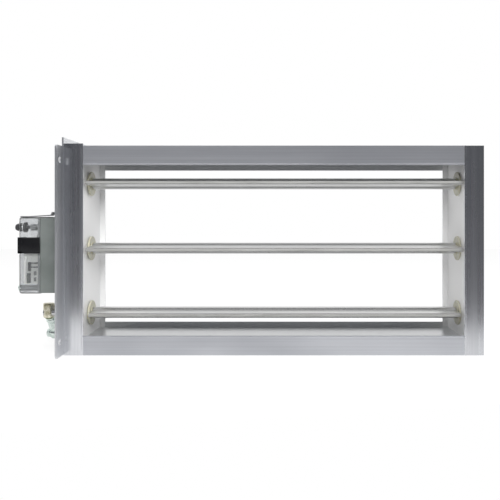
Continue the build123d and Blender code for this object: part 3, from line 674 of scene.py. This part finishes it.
# ---- Label block, dial and blanking plug ----
# Glossy black mouldings: the block clipped round the cover's front edge, with a bare sunken face,
# the position dial on the shaft's end, and the plug in the wiring entry.
def rounded_block(low, high, radius, steps=3):
    """A block with rounded edges: the points of a small ball, each moved out to its own corner.

    Point = middle + sign * (half size - radius) + radius * the point's direction on the ball.
    """
    low, high = np.array(low), np.array(high)
    quarter = np.linspace(0, np.pi / 2, steps + 1)
    spin = np.concatenate([quarter + k * np.pi / 2 for k in range(4)])[None, :]
    tilt = np.concatenate((quarter - np.pi / 2, quarter))[:, None]
    ball = (np.cos(tilt) * np.cos(spin), np.cos(tilt) * np.sin(spin), np.sin(tilt))
    sign = (
        np.repeat((1, -1, -1, 1), steps + 1)[None, :],
        np.repeat((1, 1, -1, -1), steps + 1)[None, :],
        np.repeat((-1, 1), steps + 1)[:, None],
    )
    ball = np.stack(np.broadcast_arrays(*ball), -1)
    sign = np.stack(np.broadcast_arrays(*sign), -1)
    points = (low + high) / 2 + sign * ((high - low) / 2 - radius) + radius * ball
    return skin_of(points, capped=True)


polish = {"Coat Weight": 0.6, "Coat Roughness": 0.06}
jet, soot = (0.006, 0.006, 0.007), (0.010, 0.010, 0.011)
black_plastic = moulded("black_plastic", jet, soot, 0.16, 2500.0, 0.1, polish)
dress(black_plastic, "position_indicator", "conduit_plug")
label_low, label_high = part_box("label_plate")
clip_gap, wall = 0.0001, 0.0008
left, right = cover_side - wall, label_high[0]
front, back = label_low[1], cover_front - clip_gap
bottom, top = label_high[2] - 0.0196, label_high[2] + 0.0002
rim, border, face_height, sunk = 0.0012, 0.0055, 0.0168, 0.0005
thick_edge, thin_edge = 0.0005, 0.0003
face_low = (left + 2 * sunk, front + sunk, bottom + sunk)
face_high = (right - sunk, back, top - sunk)
side_wall_high = (cover_side - clip_gap, label_high[1], top)
block = [
    rounded_block((left, front, bottom), (right, back, top - face_height), thick_edge),
    rounded_block((left, front, top - rim), (right, back, top), thick_edge),
    rounded_block((left, front, bottom), (left + border, back, top), thick_edge),
    rounded_block((right - rim, front, bottom), (right, back, top), thick_edge),
    rounded_block(face_low, face_high, thin_edge),
    rounded_block((left, front, bottom), side_wall_high, thin_edge),
]
fit_piece("label_block", block, black_plastic, "frame", "black_plastic", "label_plate")

# ---- Release button ----
# A dark moulded plunger that pushes the motor's gear out of mesh, with a fluted grip outside the
# cover, a collar inside it and a grey guide behind it.
charcoal, slate = (0.034, 0.034, 0.037), (0.052, 0.052, 0.056)
dark_plastic = moulded("dark_plastic", charcoal, slate, 0.62, 2500.0, 0.3)
low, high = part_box("release_button")
button_axis = np.array((0, (low[1] + high[1]) / 2, (low[2] + high[2]) / 2))
tip = low[0] + 0.0018
end = high[0] - tip
# Each pair is a distance from the tip and the radius there.
profile = np.array([
    (0.0000, 0.0000), (0.0000, 0.0026), (0.0004, 0.0034), (0.0014, 0.0040), (0.0048, 0.0051),
    (0.0056, 0.0053), (0.0090, 0.0053), (0.0096, 0.0050), (0.0096, 0.0043), (0.0111, 0.0043),
    (0.0111, 0.0062), (0.0113, 0.0063), (0.0136, 0.0063), (0.0138, 0.0060), (0.0138, 0.0024),
    (end, 0.0024), (end, 0.0),
])
rise, radius = profile[:, :1], profile[:, 1:]
columns, flutes, flute_depth = 72, 12, 0.05
grip = np.clip(np.minimum(rise - 0.0010, 0.0094 - rise) / 0.001, 0, 1)
radius = radius * (1 - flute_depth * grip * (0.5 + 0.5 * np.cos(flutes * turn(columns))))
button = [skin_of(around((button_axis, x_axis, z_axis), tip + rise, radius, columns))]
name = "release_button_fluted"
fit_piece(name, button, dark_plastic, "release_button", "dark_plastic", "release_button")

# ---- Gear train ----
# A grey acetal output gear on the middle shaft, moulded with its teeth, a cut brass pinion on the
# motor, the motor's drawn steel can, and a white nylon bushing for the shaft.
milky = {
    "Subsurface Weight": 0.2,
    "Subsurface Radius": (1.0, 1.0, 0.9),
    "Subsurface Scale": 0.002,
}
cream, chalk = (0.86, 0.86, 0.83), (0.93, 0.93, 0.90)
white_nylon = moulded("white_nylon", cream, chalk, 0.42, 2500.0, 0.15, milky)
dress(white_nylon, "shaft_bushing")
grey_acetal = moulded("grey_acetal", (0.30, 0.30, 0.29), (0.40, 0.40, 0.39), 0.38, 2500.0, 0.15)
dress(grey_acetal, "output_gear")
pinion_brass = plated_steel("pinion_brass", (0.80, 0.62, 0.32), (0.62, 0.46, 0.20), 0.22)
dress(pinion_brass, "motor_pinion")
motor_steel = plated_steel("motor_steel", (0.66, 0.66, 0.66), (0.52, 0.52, 0.53), 0.28)
dress(motor_steel, "gear_motor")

# ---- Circuit board ----
# Pale laminate behind the cover's front wall, with a white connector strip up its edge, the two
# switches and their levers, a strip of terminals, and small dark components.
laminate_dark, laminate_light = (0.62, 0.63, 0.60), (0.76, 0.77, 0.74)
board_laminate = moulded("board_laminate", laminate_dark, laminate_light, 0.45, 3000.0, 0.15)
dress(board_laminate, "circuit_board")
dress(dark_plastic, "limit_switches")
terminal_dark, terminal_light = (0.10, 0.11, 0.105), (0.14, 0.15, 0.145)
terminal_plastic = moulded("terminal_plastic", terminal_dark, terminal_light, 0.4, 2500.0, 0.2)
dress(terminal_plastic, "terminal_block")
board_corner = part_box("circuit_board")[0]


def on_board(right, up, width, height, depth):
    """A small block on the board's front, placed from the board's lower left corner."""
    corner = np.array(board_corner) + (right, -depth, up)
    return rounded_block(corner, corner + (width, depth, height), 0.0003)


strip_edge, connector_pitch = 0.0012, 0.0040
strip = [
    on_board(strip_edge, 0.0020 + connector_pitch * n, width=0.0026, height=0.0036, depth=0.0026)
    for n in range(8)
]
strip += [
    on_board(strip_edge, up, width=0.0070, height=0.0010, depth=0.0020)
    for up in (0.0004, 0.0352)
]
fit_piece("connector_strip", strip, white_nylon, "frame", "white_nylon")
chips = [
    on_board(right, up, width, height, depth=0.0014)
    for right, up, width, height in (
        (0.0105, 0.0385, 0.0050, 0.0014),
        (0.0100, 0.0418, 0.0068, 0.0012),
        (0.0120, 0.0448, 0.0040, 0.0012),
        (0.0125, 0.0105, 0.0030, 0.0050),
        (0.0125, 0.0030, 0.0030, 0.0050),
        (0.0036, 0.0420, 0.0024, 0.0060),
    )
]
chip_grey = moulded("chip_grey", (0.16, 0.16, 0.165), (0.22, 0.22, 0.225), 0.35, 2500.0, 0.1)
fit_piece("board_components", chips, chip_grey, "frame", "dark_plastic")
